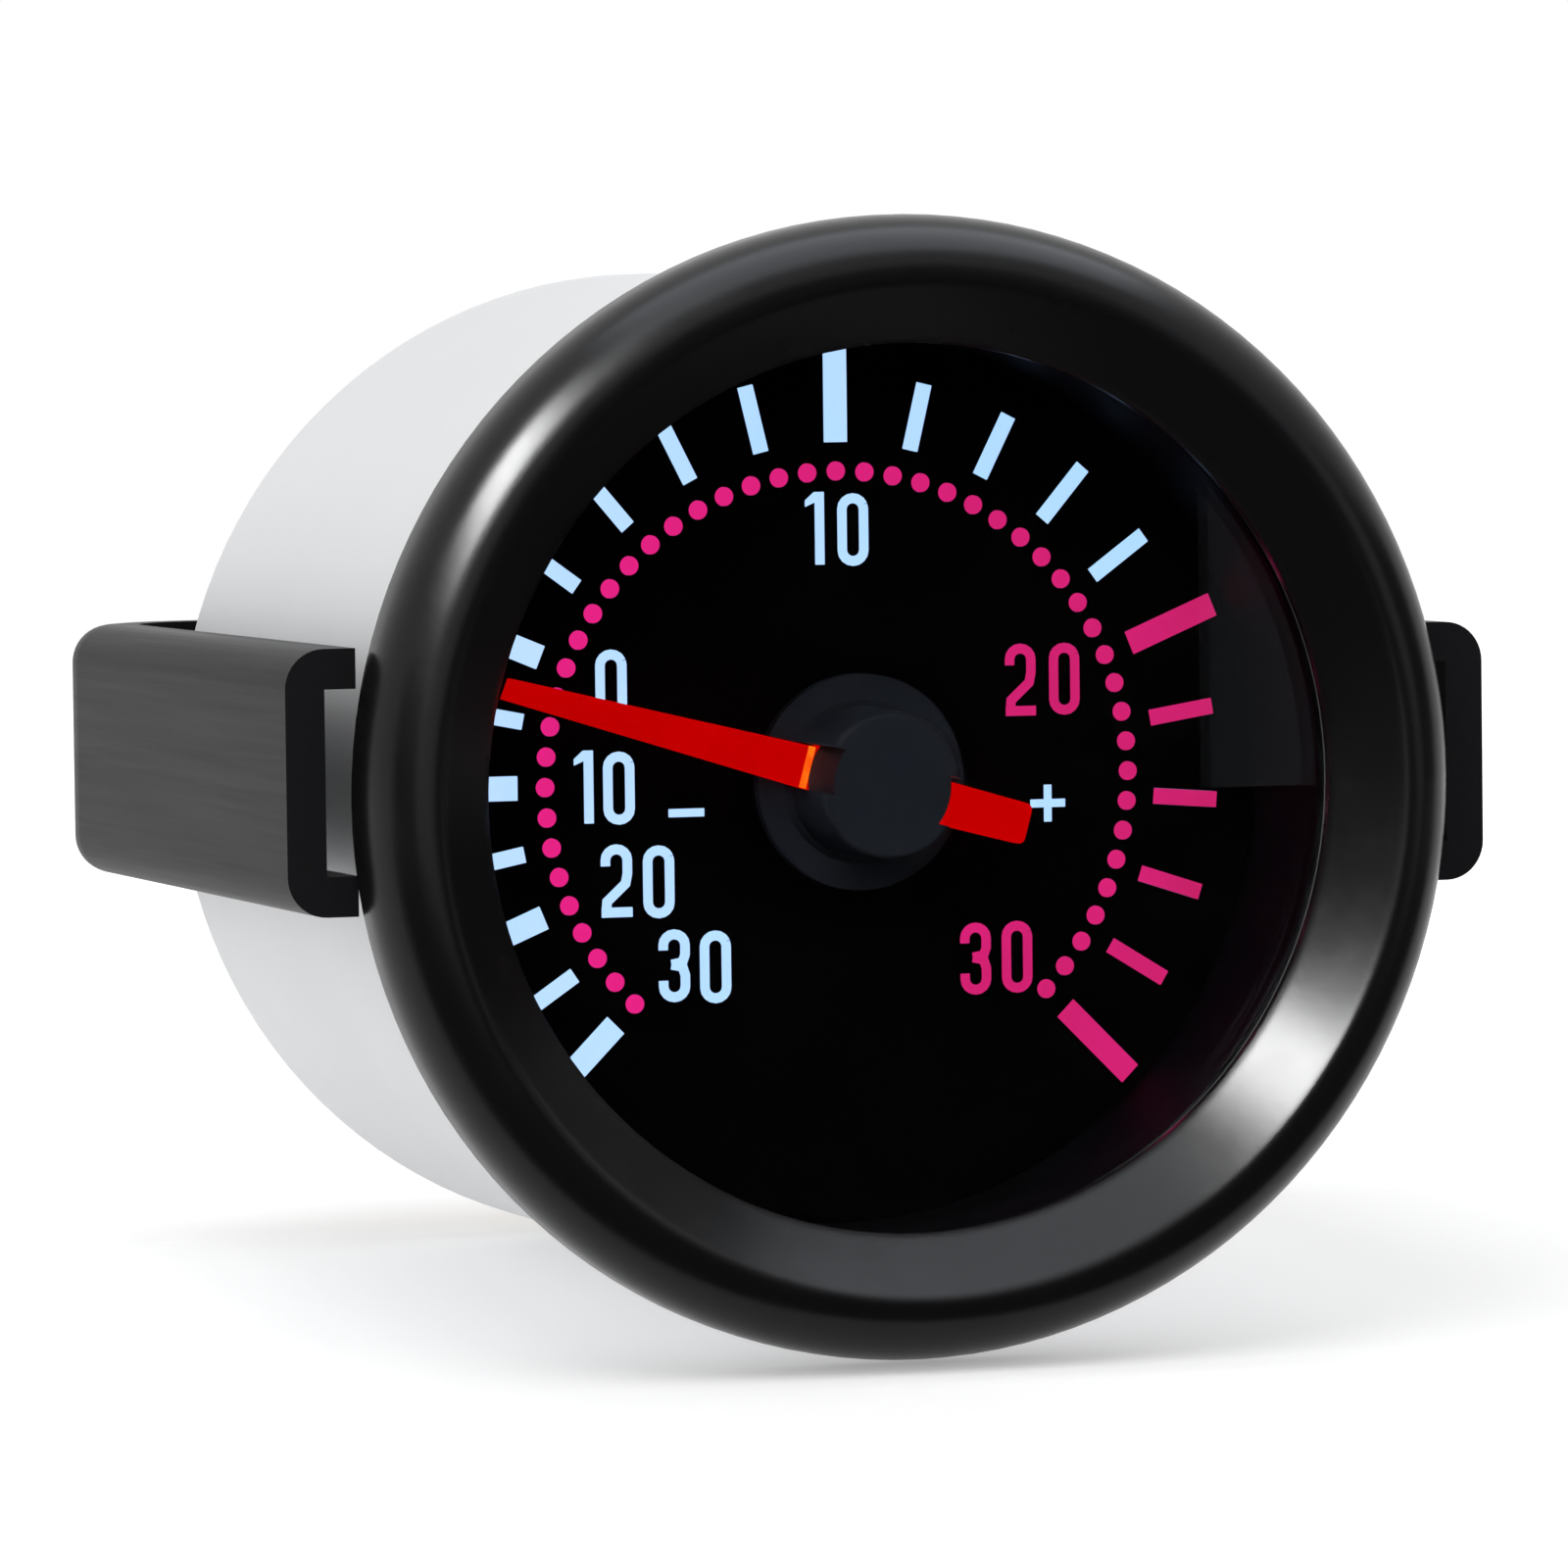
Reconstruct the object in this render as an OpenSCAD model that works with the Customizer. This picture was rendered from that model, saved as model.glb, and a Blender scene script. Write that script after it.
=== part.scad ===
// Mechanical boost and vacuum gauge for a 52 mm panel hole.
// Every piece is drawn as seen from the front: x right, y up, z towards the viewer, z = 0 on the panel.
// The front view is then stood up, so that the finished gauge faces -Y with +Z up.

/* [Case] */
// Outer radius of the barrel, which drops into a 52 mm hole
case_r = 26; // [25.5:0.1:28]
// Wall of the barrel
case_wall = 1.6; // [1.3:0.1:1.8]
// How far the case reaches behind the panel
case_len = 43.5; // [43:0.5:55]
// Thickness of the back wall
back_wall = 2; // [1.5:0.1:3]
// Rounding of the back edge
back_round = 1.2; // [0.6:0.1:1.4]
// Width of the ledge that carries the lamp board
ledge_w = 1.4; // [1:0.1:1.8]
// Width of the flange at the mouth
flange_w = 1.4; // [1:0.1:2]
// Thickness of the flange at the mouth
flange_t = 1.4; // [1:0.1:2]

/* [Bezel] */
// Wall of the bezel outside the case flange
bezel_wall = 1.1; // [0.8:0.1:2]
// Height of the crown in front of the panel
crown_h = 5.3; // [5:0.1:7]
// How far the crown lies inside the outer edge
crown_in = 3; // [2.4:0.1:3.6]
// Straight part of the outer side
bezel_side = 1.3; // [0.8:0.1:1.8]
// Width of the lip that laps over the lens
lip_w = 2.2; // [1.8:0.1:2.6]
// Thickness of the lip at the window
lip_t = 0.6; // [0.4:0.1:0.8]
// Thickness of the lip behind the case flange, which seats on the panel
seat_t = 1.1; // [0.8:0.1:1.4]
// Slope of the inner bevel
bevel_slope_share = 0.85; // [0.75:0.01:0.95]

/* [Window stack] */
// Thickness of the lens gasket
gasket_t = 0.4; // [0.3:0.1:0.6]
// Thickness of the lens
lens_t = 1.2; // [1:0.1:1.6]
// Depth of the dial behind the panel
dial_depth = 9.5; // [9:0.1:12]
// Wall of the shroud between lens and dial
shroud_wall = 1.6; // [1.2:0.1:1.8]
// Thickness of the dial
dial_t = 0.6; // [0.4:0.1:1]
// Thickness of the light guide
guide_t = 2; // [1.5:0.1:2.5]
// Space for the lamps between light guide and lamp board
lamp_space = 1.6; // [1.5:0.1:2.4]
// Thickness of the lamp board
board_t = 1; // [0.8:0.1:1.6]
// Gap between the lens and the pointer cap
cap_gap = 1.5; // [1:0.1:2]
// Length of one lamp
lamp_l = 3.5; // [3:0.1:4]
// Width of one lamp
lamp_w = 2.8; // [2:0.1:3]
// Lamps in the ring behind the scale
lamp_count = 8; // [6:1:8]

/* [Dial] */
// Angle of the scale's lower left end, counted from the right
scale_start = 225; // [220:0.5:225]
// Angle that the whole scale covers
scale_sweep = 270; // [260:0.5:270]
// Number of dots
dot_count = 49; // [41:1:49]
// Distance of the ring of dots inside the window's edge
dot_inset = 6.5; // [6:0.1:7.2]
// Radius of one dot
dot_r = 0.5; // [0.3:0.05:0.6]
// Distance of the bars' inner ends inside the window's edge
bar_inset = 5.05; // [4.6:0.05:5.3]
// Length of a short bar
minor_len = 3.5; // [2.5:0.1:4]
// Length of a long bar
major_len = 5; // [4.2:0.1:5.2]
// Width of a short bar
minor_w = 0.85; // [0.5:0.05:1.1]
// Width of a long bar
major_w = 1.27; // [0.9:0.01:1.6]

/* [Pointer] */
// Distance of the blade's tip inside the window's edge
tip_inset = 2.6; // [1.7:0.1:5]
// Width of the blade at its tip
tip_w = 1.1; // [0.6:0.1:1.6]
// Width of the blade at the cap
root_w = 2.4; // [1.8:0.1:3]
// Length of the tail from the axis
tail_r = 9; // [6:0.1:12]
// Width of the tail
tail_w = 2.1; // [1.5:0.1:2.6]
// Thickness of the blade
blade_t = 0.8; // [0.6:0.1:1]
// Radius of the black base disc behind the blade
base_r = 5.5; // [4.8:0.1:7]
// Thickness of the base disc
base_t = 0.7; // [0.5:0.1:0.8]
// Space between the dial and the base disc
base_rise = 2.7; // [2:0.1:3.2]
// Radius of the cap
cap_r = 3.75; // [3.4:0.05:4.4]
// Angle of the pointer at rest, counted from the right
rest_angle = 164.6; // [157.5:0.1:170]

/* [Movement] */
// Module of the teeth
tooth_m = 0.2; // [0.18:0.01:0.21]
// Teeth on the pinion
pinion_teeth = 12; // [12:1:14]
// Teeth on a full circle of the sector
sector_teeth = 96; // [90:1:100]
// Tooth space left between meshing flanks
backlash = 0.04; // [0.03:0.01:0.06]
// Length of the pinion
pinion_len = 2.4; // [2:0.1:3]
// Thickness of the sector
sector_t = 1; // [0.8:0.1:1.2]
// Length of the sector's tail from its pivot to its pin
tail_lever = 3.5; // [3:0.1:4]
// Thickness of the movement plates
plate_t = 1; // [0.8:0.1:1.4]
// Space between the movement plates
plate_gap = 6; // [5.5:0.1:6.5]
// Width of the movement plates
plate_w = 22; // [21:0.5:24]
// Space between the lamp board and the front plate
board_gap = 2.3; // [2:0.1:3]
// Radius of the pillars
pillar_r = 1.4; // [1:0.1:1.6]
// Radius of the pointer arbor in front
arbor_r = 0.9; // [0.7:0.05:1]
// Radius of the arbor inside the pinion
arbor_core_r = 0.6; // [0.5:0.05:0.7]
// Radius of the thin pivots at the arbors' back ends
pivot_r = 0.45; // [0.3:0.05:0.5]
// Thickness of the link
link_t = 0.7; // [0.5:0.1:0.9]
// Width of the link
link_w = 1.5; // [1.2:0.1:1.8]
// Reach of the link's slot inside the tip pin's rest place
slot_in = 1.7; // [1.6:0.1:2]
// Reach of the link's slot outside the tip pin's rest place
slot_out = 0.6; // [0.5:0.1:0.8]
// Teeth of the sector on the side of the high readings
high_teeth = 4; // [4:1:5]
// Teeth of the sector on the side of the low readings
low_teeth = 9; // [9:1:10]
// Height of the upper pillars above the pointer arbor
pillar_top = 8; // [7.5:0.1:8.5]
// Turns of the hairspring
spring_turns = 4; // [3:1:4]
// Space from one turn of the hairspring to the next
spring_pitch = 1.1; // [0.9:0.05:1.1]
// Thickness of the hairspring's wire
spring_wire = 0.15; // [0.1:0.01:0.2]

/* [Pressure tube] */
// Space between the tube's tip and the case
tube_side_gap = 2.7; // [1.5:0.1:3.2]
// Width of the flattened tube along the gauge's axis
tube_h = 6; // [4.5:0.1:7]
// Thickness of the flattened tube
tube_t = 2; // [1.6:0.1:2.4]
// Wall of the tube
tube_wall = 0.3; // [0.2:0.05:0.4]
// Space between the back plate and the tube
tube_gap = 2.5; // [2:0.1:4]
// Angle at which the tube ends in its tip
tube_tip_angle = -22; // [-26:0.5:-18]
// Angle at which the tube ends in its socket
tube_root_angle = 257; // [255:0.5:262]
// Angle over which the end piece grips the tube
tip_grip = 3; // [2:0.5:4]
// Angle that the end piece reaches beyond the tube
tip_span = 6; // [5.5:0.5:7]
// Width of the socket block
socket_w = 13; // [12:0.5:15]
// Distance of the pressure port from the case's wall
port_inset = 7.5; // [7:0.1:7.8]

/* [Back] */
// Radius of the threaded neck of the socket
neck_r = 5; // [4.5:0.1:5.2]
// Across flats of the port nut
port_nut_af = 14; // [13:0.5:15]
// Thickness of the port nut
port_nut_t = 4; // [3:0.1:5]
// Radius of the hose nipple
nipple_r = 2.5; // [2:0.1:3]
// Length of the hose nipple
nipple_len = 11; // [8:0.5:14]
// Bore of the hose nipple
nipple_bore_r = 1; // [0.6:0.1:1.3]
// Distance of each stud from the middle
stud_x = 14; // [12:0.5:16]
// Height of the studs and the bracket above the axis
stud_rise = 1; // [0:0.1:1]
// Radius of the studs
stud_r = 2; // [1.5:0.1:2.5]
// Length of the studs behind the case
stud_len = 19.5; // [19:0.5:26]
// Radius of the thumb nuts
thumb_r = 5; // [4.5:0.1:6]
// Height of the thumb nuts
thumb_h = 6; // [4:0.1:7]
// Grooves in the grip of a thumb nut
groove_count = 18; // [12:1:24]
// Width of the terminal blades
blade_w = 6.3; // [6:0.1:6.4]
// Thickness of the terminal blades
blade_wall = 0.8; // [0.7:0.05:0.9]
// Length of the terminal blades outside their block
blade_len = 8; // [7:0.5:10]
// Thickness of the terminal block
block_t = 2.5; // [1.5:0.1:3]
// Height of the terminals above the axis
terminal_y = 14; // [13.5:0.5:15]
// Distance of each terminal from the middle
terminal_x = 6; // [5:0.5:6.5]

/* [Bracket] */
// How far the arms stand out beside the case
arm_reach = 5.7; // [5.4:0.1:8]
// Height of the arms
arm_h = 13.2; // [12:0.1:14]
// Wall of the bracket
arm_wall = 2; // [1.5:0.1:2.4]
// Rounding of the arms' long edges
arm_round = 2; // [1:0.1:2.2]
// Radius of the two bends
bend_r = 8; // [7.4:0.1:10]
// Clearance between the arms and the case, which keeps the feet clear of the bezel's seat
arm_gap = 2.1; // [2.1:0.05:2.4]
// Space between the bridge and the back of the case
bridge_gap = 2.5; // [0.5:0.1:3]

/* [Hidden] */
$fn = 96;
// Clearances
run_gap = 0.05;
fit_gap = 0.1;
loose_gap = 0.2;
air_gap = 0.3;
overrun = 1;
// Shares of the pointer
cap_wall_share = 0.5;
corner_share = 0.4;
hub_sink_share = 0.125;
tip_cut_share = 0.1;
slot_end_share = 1.6;
// Shares of the movement
pinion_top_share = 1.4;
spring_h_share = 0.6;
collet_share = 1.9;
pinion_add_share = 1.2;
sector_add_share = 0.65;
tooth_clear_share = 0.3;
pillar_inset_share = 2.1;
plate_top_share = 3;
screw_share = 0.6;
screw_head_share = 0.7;
sector_hub_share = 3;
rim_share = 1.6;
spoke_share = 0.55;
spoke_flare_share = 1.6;
tail_share = 2;
collar_share = 0.75;
collar_t_shares = [0.4, 0.2];
tail_pin_share = 0.7;
tip_pin_share = 0.85;
pin_head_share = 1.6;
pin_head_t_share = 0.4;
tip_wall_share = 0.7;
passage_share = 0.7;
// Shares of the pieces at the back
washer_share = 0.8;
neck_over_share = 0.5;
taper_share = 1.5;
shank_share = 0.8;
stud_head_share = 1.7;
washer_r_share = 2.2;
groove_share = 0.09;
nut_collar_share = 0.75;
block_wall_share = 3;
crown_dip_share = 0.15;
// Chamfer on the bezel's edges
edge_cut = 0.35;
// Bezel and mouth of the case
flange_r = case_r + flange_w;
bezel_in_r = flange_r + fit_gap;
bezel_r = bezel_in_r + bezel_wall;
case_in_r = case_r - case_wall;
window_r = case_in_r - lip_w;
crown_r = bezel_r - crown_in;
window_z = crown_h - (crown_r - window_r) * bevel_slope_share;
flange_z = seat_t + fit_gap;
mouth_z = flange_z + flange_t;
lip_z = window_z - lip_t;
// Dial and pointer, inside the window's edge
dot_ring_r = window_r - dot_inset;
bar_in_r = window_r - bar_inset;
tip_r = window_r - tip_inset;
// Window stack, from the lens back to the ledge
lens_z = lip_z - gasket_t;
lens_back_z = lens_z - lens_t;
dial_z = -dial_depth;
guide_z = dial_z - dial_t;
guide_back_z = guide_z - guide_t;
board_z = guide_back_z - lamp_space;
ledge_z = board_z - board_t;
stack_r = case_in_r - fit_gap;
shroud_in_r = stack_r - shroud_wall;
ledge_r = case_in_r - ledge_w;
back_z = -case_len;
floor_z = back_z + back_wall;
// Pointer heights
cap_z = lens_back_z - cap_gap;
base_back_z = dial_z + base_rise;
blade_back_z = base_back_z + base_t;
blade_z = blade_back_z + blade_t;
hub_r = arbor_r + blade_t;
boss_r = hub_r + air_gap;
boss_z = dial_z + dial_t;
cap_wall = cap_wall_share * blade_t;
cap_round = corner_share * blade_t;
hub_sink = hub_sink_share * blade_t;
// Movement heights
front_z = ledge_z - board_gap;
front_back_z = front_z - plate_t;
rear_z = front_back_z - plate_gap;
rear_back_z = rear_z - plate_t;
pinion_z = front_back_z - pinion_top_share * sector_t;
sector_z = pinion_z - (pinion_len - sector_t) / 2;
sector_back_z = sector_z - sector_t;
link_z = sector_back_z - air_gap;
link_back_z = link_z - link_t;
spring_h = spring_h_share * sector_t;
spring_z = pinion_z - pinion_len - air_gap;
// Teeth
deg_per_rad = 180 / PI;
flank_steps = 5;
pressure_angle = 20;
pinion_pitch_r = tooth_m * pinion_teeth / 2;
sector_pitch_r = tooth_m * sector_teeth / 2;
pivot_drop = pinion_pitch_r + sector_pitch_r;
pinion_add = pinion_add_share * tooth_m;
sector_add = sector_add_share * tooth_m;
tooth_clear = tooth_clear_share * tooth_m;
// Pressure tube
tip_wall = tip_wall_share * plate_t;
tube_r = ledge_r - tube_side_gap - tip_wall - tube_t / 2;
port_drop = ledge_r - port_inset;
// Linkage: the tail pin hangs under the sector's pivot, and the tip pin stands on the tube's tip
tip_pin_angle = tube_tip_angle - tip_span / 2;
tip_pin = [tube_r * cos(tip_pin_angle), tube_r * sin(tip_pin_angle)];
tail_pin_at = [0, -pivot_drop - tail_lever];
link_v = tip_pin - tail_pin_at;
link_len = norm(link_v);
link_angle = atan2(link_v[1], link_v[0]);
tail_pin_r = tail_pin_share * link_t;
tip_pin_r = tip_pin_share * link_t;
slot_r = tip_pin_r + loose_gap;
tube_z = rear_back_z - tube_gap;
tube_back_z = tube_z - tube_h;
// Back of the case
washer_t = washer_share * plate_t;
nut_z = back_z - washer_t;
neck_end_z = nut_z - port_nut_t - neck_over_share * plate_t;
nipple_end_z = neck_end_z - nipple_len;
nipple_taper = taper_share * plate_t;
shank_r = shank_share * nipple_r;
shank_len = nipple_len / 2;
// Passage from the nipple to the tube
tube_mid_z = tube_z - tube_h / 2;
passage = [tube_r * cos(tube_root_angle), tube_r * sin(tube_root_angle) + port_drop];
passage_angle = atan2(passage[1], passage[0]);
// Bracket
arm_x = case_r + arm_reach;
arm_open_x = case_r + arm_gap;
arm_depth = arm_x - arm_open_x;
bridge_open_z = back_z - bridge_gap;
bridge_z = bridge_open_z - arm_depth;
bend_x = arm_x - bend_r;
bend_z = bridge_z + bend_r;
thumb_z = bridge_z - washer_t - fit_gap;

module front_view() {
  rotate([90, 0, 0]) children();
}

// A plain disc from a back height to a front height
module disc(r, back, front) {
  translate([0, 0, back]) cylinder(r = r, h = front - back);
}

// A ring from a back height to a front height
module ring(r, hole_r, back, front) {
  difference() {
    disc(r, back, front);
    disc(hole_r, back - overrun, front + overrun);
  }
}

// Moves its children out from the axis, at an angle counted from the right
module polar(angle, r) {
  translate([r * cos(angle), r * sin(angle), 0]) children();
}

// The two places of the studs, with their nuts and washers
module stud_places() {
  for (s = [-1, 1]) translate([s * stud_x, stud_rise, 0]) children();
}

module case_profile() {
  polygon(concat(
    [[0, back_z]],
    [for (a = [-90:15:0]) [case_r - back_round, back_z + back_round] + back_round * [cos(a), sin(a)]],
    [[case_r, flange_z], [flange_r, flange_z], [flange_r, mouth_z], [case_in_r, mouth_z]],
    [[case_in_r, ledge_z], [ledge_r, ledge_z], [ledge_r, floor_z], [0, floor_z]]
  ));
}

module case() {
  color("whitesmoke") front_view() difference() {
    rotate_extrude() case_profile();
    translate([0, -port_drop, 0]) disc(neck_r + fit_gap, back_z - overrun, floor_z + overrun);
    stud_places() disc(stud_r, back_z - overrun, floor_z + overrun);
    terminal_places() cube([blade_w, blade_wall, 2 * (back_wall + overrun)], center = true);
  }
}

module bezel_profile() {
  shoulder_z = bezel_side;
  polygon(concat(
    [[case_r + fit_gap, 0], [bezel_r - edge_cut, 0], [bezel_r, edge_cut]],
    [for (a = [0:7.5:90]) [crown_r + crown_in * cos(a), shoulder_z + (crown_h - shoulder_z) * sin(a)]],
    [
      [crown_r - edge_cut, crown_h - crown_dip_share * edge_cut], [window_r, window_z], [window_r, lip_z],
      [stack_r, lip_z], [stack_r, mouth_z + fit_gap], [bezel_in_r, mouth_z + fit_gap],
      [bezel_in_r, seat_t], [case_r + fit_gap, seat_t]
    ]
  ));
}

module bezel() {
  color("black") front_view() rotate_extrude() bezel_profile();
}

module lens_gasket() {
  color("dimgray") front_view() ring(stack_r, window_r + fit_gap, lens_z, lip_z);
}

module lens() {
  color([0.3, 0.3, 0.35, 0.4]) front_view() disc(stack_r, lens_back_z, lens_z);
}

// Black ring that spaces the lens from the dial, flared at its front edge
module shroud_ring() {
  color("black") front_view() rotate_extrude() polygon([
    [shroud_in_r, dial_z], [stack_r, dial_z], [stack_r, lens_back_z],
    [shroud_in_r + shroud_wall / 2, lens_back_z], [shroud_in_r, lens_back_z - shroud_wall / 2]
  ]);
}

// Angles of the scale: a quarter of it for vacuum, on the left, and the rest for boost
vacuum_share = 0.25;
vacuum_bars = 6;
boost_bars = 15;
dot_step = scale_sweep / (dot_count - 1);
zero_angle = scale_start - vacuum_share * scale_sweep;
boost_step = (1 - vacuum_share) * scale_sweep / boost_bars;
vacuum_step = vacuum_share * scale_sweep / vacuum_bars;

// One bar of the scale, cut through the dial
module bar(angle, w, length) {
  rotate([0, 0, angle]) translate([bar_in_r, -w / 2, guide_z - overrun])
    cube([length, w, dial_t + 2 * overrun]);
}

module scale_windows() {
  for (i = [0:dot_count - 1]) polar(scale_start - i * dot_step, dot_ring_r)
    translate([0, 0, guide_z - overrun]) cylinder(r = dot_r, h = dial_t + 2 * overrun, $fn = 24);
  for (i = [0:boost_bars]) bar(
    zero_angle - i * boost_step, i % 5 == 0 ? major_w : minor_w, i % 5 == 0 ? major_len : minor_len
  );
  for (i = [1:vacuum_bars]) bar(
    zero_angle + i * vacuum_step, i % 2 == 0 ? major_w : minor_w, i == vacuum_bars ? major_len : minor_len
  );
}

module dial() {
  color([0.05, 0.05, 0.06]) front_view() difference() {
    disc(stack_r, guide_z, dial_z);
    disc(boss_r + fit_gap, guide_z - overrun, dial_z + overrun);
    scale_windows();
  }
}

// Clear plate that spreads the lamps' light, with a rim that stands on the lamp board
module light_guide() {
  color([0.9, 0.93, 1]) front_view() difference() {
    union() {
      disc(stack_r, guide_back_z, guide_z);
      ring(stack_r, ledge_r, board_z, guide_z);
      disc(boss_r, guide_back_z, boss_z);
    }
    disc(arbor_r + air_gap, board_z - overrun, boss_z + overrun);
  }
}

module lamp_board() {
  color("darkgreen") front_view() ring(stack_r, hub_r + air_gap, ledge_z, board_z);
}

// Flat lamps: a ring of eight behind the scale and two beside the arbor that light the pointer
lamp_h = lamp_space - air_gap;
lamp_ring_r = ledge_r - lamp_l;
module lamps() {
  color("lightyellow") front_view() {
    for (i = [0:lamp_count - 1]) polar((i + 0.5) * 360 / lamp_count, lamp_ring_r)
      translate([0, 0, board_z + lamp_h / 2]) cube([lamp_l, lamp_w, lamp_h], center = true);
    for (a = [90, 270]) polar(a, hub_r + 2 * air_gap + lamp_w / 2)
      translate([0, 0, board_z + lamp_h / 2]) cube([lamp_l, lamp_w, lamp_h], center = true);
  }
}

// Outline of the blade and its tail, pointing right, with a cut tip and rounded tail corners
tail_round = corner_share * blade_t;
module blade_outline() {
  corner = [-tail_r + tail_round, tail_w / 2 - tail_round];
  polygon(concat(
    [[0, root_w / 2], [tip_r, tip_w / 2], [tip_r - tip_cut_share * tip_w, -tip_w / 2], [0, -root_w / 2]],
    [for (a = [270:-30:180]) [corner[0] + tail_round * cos(a), -corner[1] + tail_round * sin(a)]],
    [for (a = [180:-30:90]) corner + tail_round * [cos(a), sin(a)]]
  ));
}

module pointer() {
  color("red") front_view() difference() {
    union() {
      rotate([0, 0, rest_angle]) translate([0, 0, blade_back_z]) linear_extrude(blade_t) blade_outline();
      disc(hub_r, boss_z + air_gap, blade_back_z + 2 * hub_sink);
      disc(cap_r - cap_wall - fit_gap, blade_back_z + hub_sink, blade_z - hub_sink);
    }
    disc(arbor_r, boss_z - overrun, blade_z + overrun);
  }
}

module pointer_base() {
  color([0.1, 0.1, 0.11]) front_view() ring(base_r, hub_r, base_back_z, blade_back_z);
}

// Cap over the hub, with a slot for the blade and one for the tail, both open to the front
module pointer_cap() {
  color([0.1, 0.1, 0.11]) front_view() difference() {
    rotate_extrude() polygon(concat(
      [[0, cap_z], [0, blade_z], [cap_r - cap_wall, blade_z], [cap_r - cap_wall, blade_back_z]],
      [[cap_r + cap_wall, blade_back_z], [cap_r + cap_wall / 3, blade_back_z + cap_wall]],
      [for (a = [0:15:90]) [cap_r - cap_round + cap_round * cos(a), cap_z - cap_round + cap_round * sin(a)]]
    ));
    rotate([0, 0, rest_angle]) translate([0, 0, blade_back_z - overrun])
      linear_extrude(cap_z - blade_back_z + 2 * overrun) blade_slots();
  }
}

// Room for the blade and the tail, ending a little way inside the cap
module blade_slots() {
  difference() {
    polygon([
      [0, root_w / 2 + fit_gap], [tip_r, tip_w / 2 + fit_gap], [tip_r, -tip_w / 2 - fit_gap],
      [0, -root_w / 2 - fit_gap], [-tail_r, -tail_w / 2 - fit_gap], [-tail_r, tail_w / 2 + fit_gap]
    ]);
    circle(r = cap_r - slot_end_share * cap_wall);
  }
}

// Pointer arbor: stout in front, thinner inside the pinion, with a fine pivot at its back end
module pointer_arbor() {
  color("silver") front_view() {
    disc(arbor_r, pinion_z, blade_z);
    disc(arbor_core_r, rear_z + air_gap, pinion_z);
    disc(pivot_r, rear_back_z, rear_z + air_gap);
  }
}

// Involute angle, in degrees, at a radius of a gear with a base radius
function inv_at(r, base) = let (a = acos(min(1, base / r))) tan(a) * deg_per_rad - a;

// Half the angle that one tooth takes up at a radius
function half_tooth(r, pitch, base) =
  (PI * tooth_m - backlash) / (4 * pitch) * deg_per_rad + inv_at(pitch, base) - inv_at(max(r, base), base);

// Point of a tooth's flank at a radius, on one side of the tooth or the other
function flank_point(angle, side, r, pitch, base) =
  let (a = angle + side * half_tooth(r, pitch, base)) r * [cos(a), sin(a)];

// Outline of one tooth at an angle, from its root up one flank and down the other
function tooth(angle, pitch, add, ded) =
  let (base = pitch * cos(pressure_angle))
  let (root = pitch - ded)
  let (radii = [for (k = [0:flank_steps]) root + (pitch + add - root) * k / flank_steps])
  concat(
    [for (k = [0:flank_steps]) flank_point(angle, -1, radii[k], pitch, base)],
    [for (k = [flank_steps:-1:0]) flank_point(angle, 1, radii[k], pitch, base)]
  );

// Pinion, with a tooth pointing at the sector's pivot
module pinion() {
  step = 360 / pinion_teeth;
  color("gold") front_view() difference() {
    translate([0, 0, pinion_z - pinion_len]) linear_extrude(pinion_len) polygon([
      for (i = [0:pinion_teeth - 1])
        each tooth(i * step - 90, pinion_pitch_r, pinion_add, sector_add + tooth_clear)
    ]);
    disc(arbor_core_r, pinion_z - pinion_len - overrun, pinion_z + overrun);
  }
}

collet_r = collet_share * arbor_core_r;
module hairspring_collet() {
  color("gold") front_view() ring(collet_r, arbor_core_r, spring_z - spring_h - run_gap, spring_z + run_gap);
}

// Flat spiral spring, from beside the collet out to the stud on the back plate
spring_in_r = collet_r + fit_gap;
spring_out_r = spring_in_r + spring_turns * spring_pitch;
spring_steps = 24;
function spiral(t, side) =
  let (r = spring_in_r + spring_wire * side + spring_pitch * t) r * [cos(360 * t), sin(360 * t)];
module hairspring() {
  last = spring_turns * spring_steps;
  color("tan") front_view() translate([0, 0, spring_z - spring_h]) linear_extrude(spring_h) polygon(concat(
    [for (i = [0:last]) spiral(i / spring_steps, 0)],
    [for (i = [last:-1:0]) spiral(i / spring_steps, 1)]
  ));
}

module hairspring_stud() {
  stud_at = spring_out_r + spring_wire + spring_pitch / 2;
  color("gold") front_view() translate([stud_at, 0, 0]) disc(spring_pitch / 2, rear_z, spring_z + run_gap);
}

// Four pillars hold the movement plates apart
pillar_x = plate_w / 2 - pillar_inset_share * pillar_r;
pillar_low = pivot_drop + tail_lever + pillar_r / 2;
plate_r = norm([pillar_x, pillar_low]) + pillar_r;
module pillar_places() {
  for (s = [-1, 1]) {
    translate([s * pillar_x, pillar_top, 0]) children();
    translate([s * pillar_x, -pillar_low, 0]) children();
  }
}

screw_r = screw_share * pillar_r;
module plate_outline() {
  intersection() {
    circle(r = plate_r);
    square([plate_w, 3 * plate_r], center = true);
    translate([0, -plate_r]) circle(r = plate_r + pillar_top + plate_top_share * pillar_r);
  }
}

module movement_plate(back, front, arbor_hole_r, sector_hole_r) {
  difference() {
    translate([0, 0, back]) linear_extrude(front - back) plate_outline();
    disc(arbor_hole_r, back - overrun, front + overrun);
    translate([0, -pivot_drop, 0]) disc(sector_hole_r, back - overrun, front + overrun);
    pillar_places() disc(screw_r, back - overrun, front + overrun);
  }
}

module front_plate() {
  color("goldenrod") front_view() movement_plate(front_back_z, front_z, arbor_r + run_gap, pivot_r + run_gap);
}

module back_plate() {
  color("goldenrod") front_view() movement_plate(rear_back_z, rear_z, pivot_r + run_gap, pivot_r + run_gap);
}

module pillars() {
  color("darkgoldenrod") front_view() pillar_places() ring(pillar_r, screw_r, rear_z, front_back_z);
}

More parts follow.
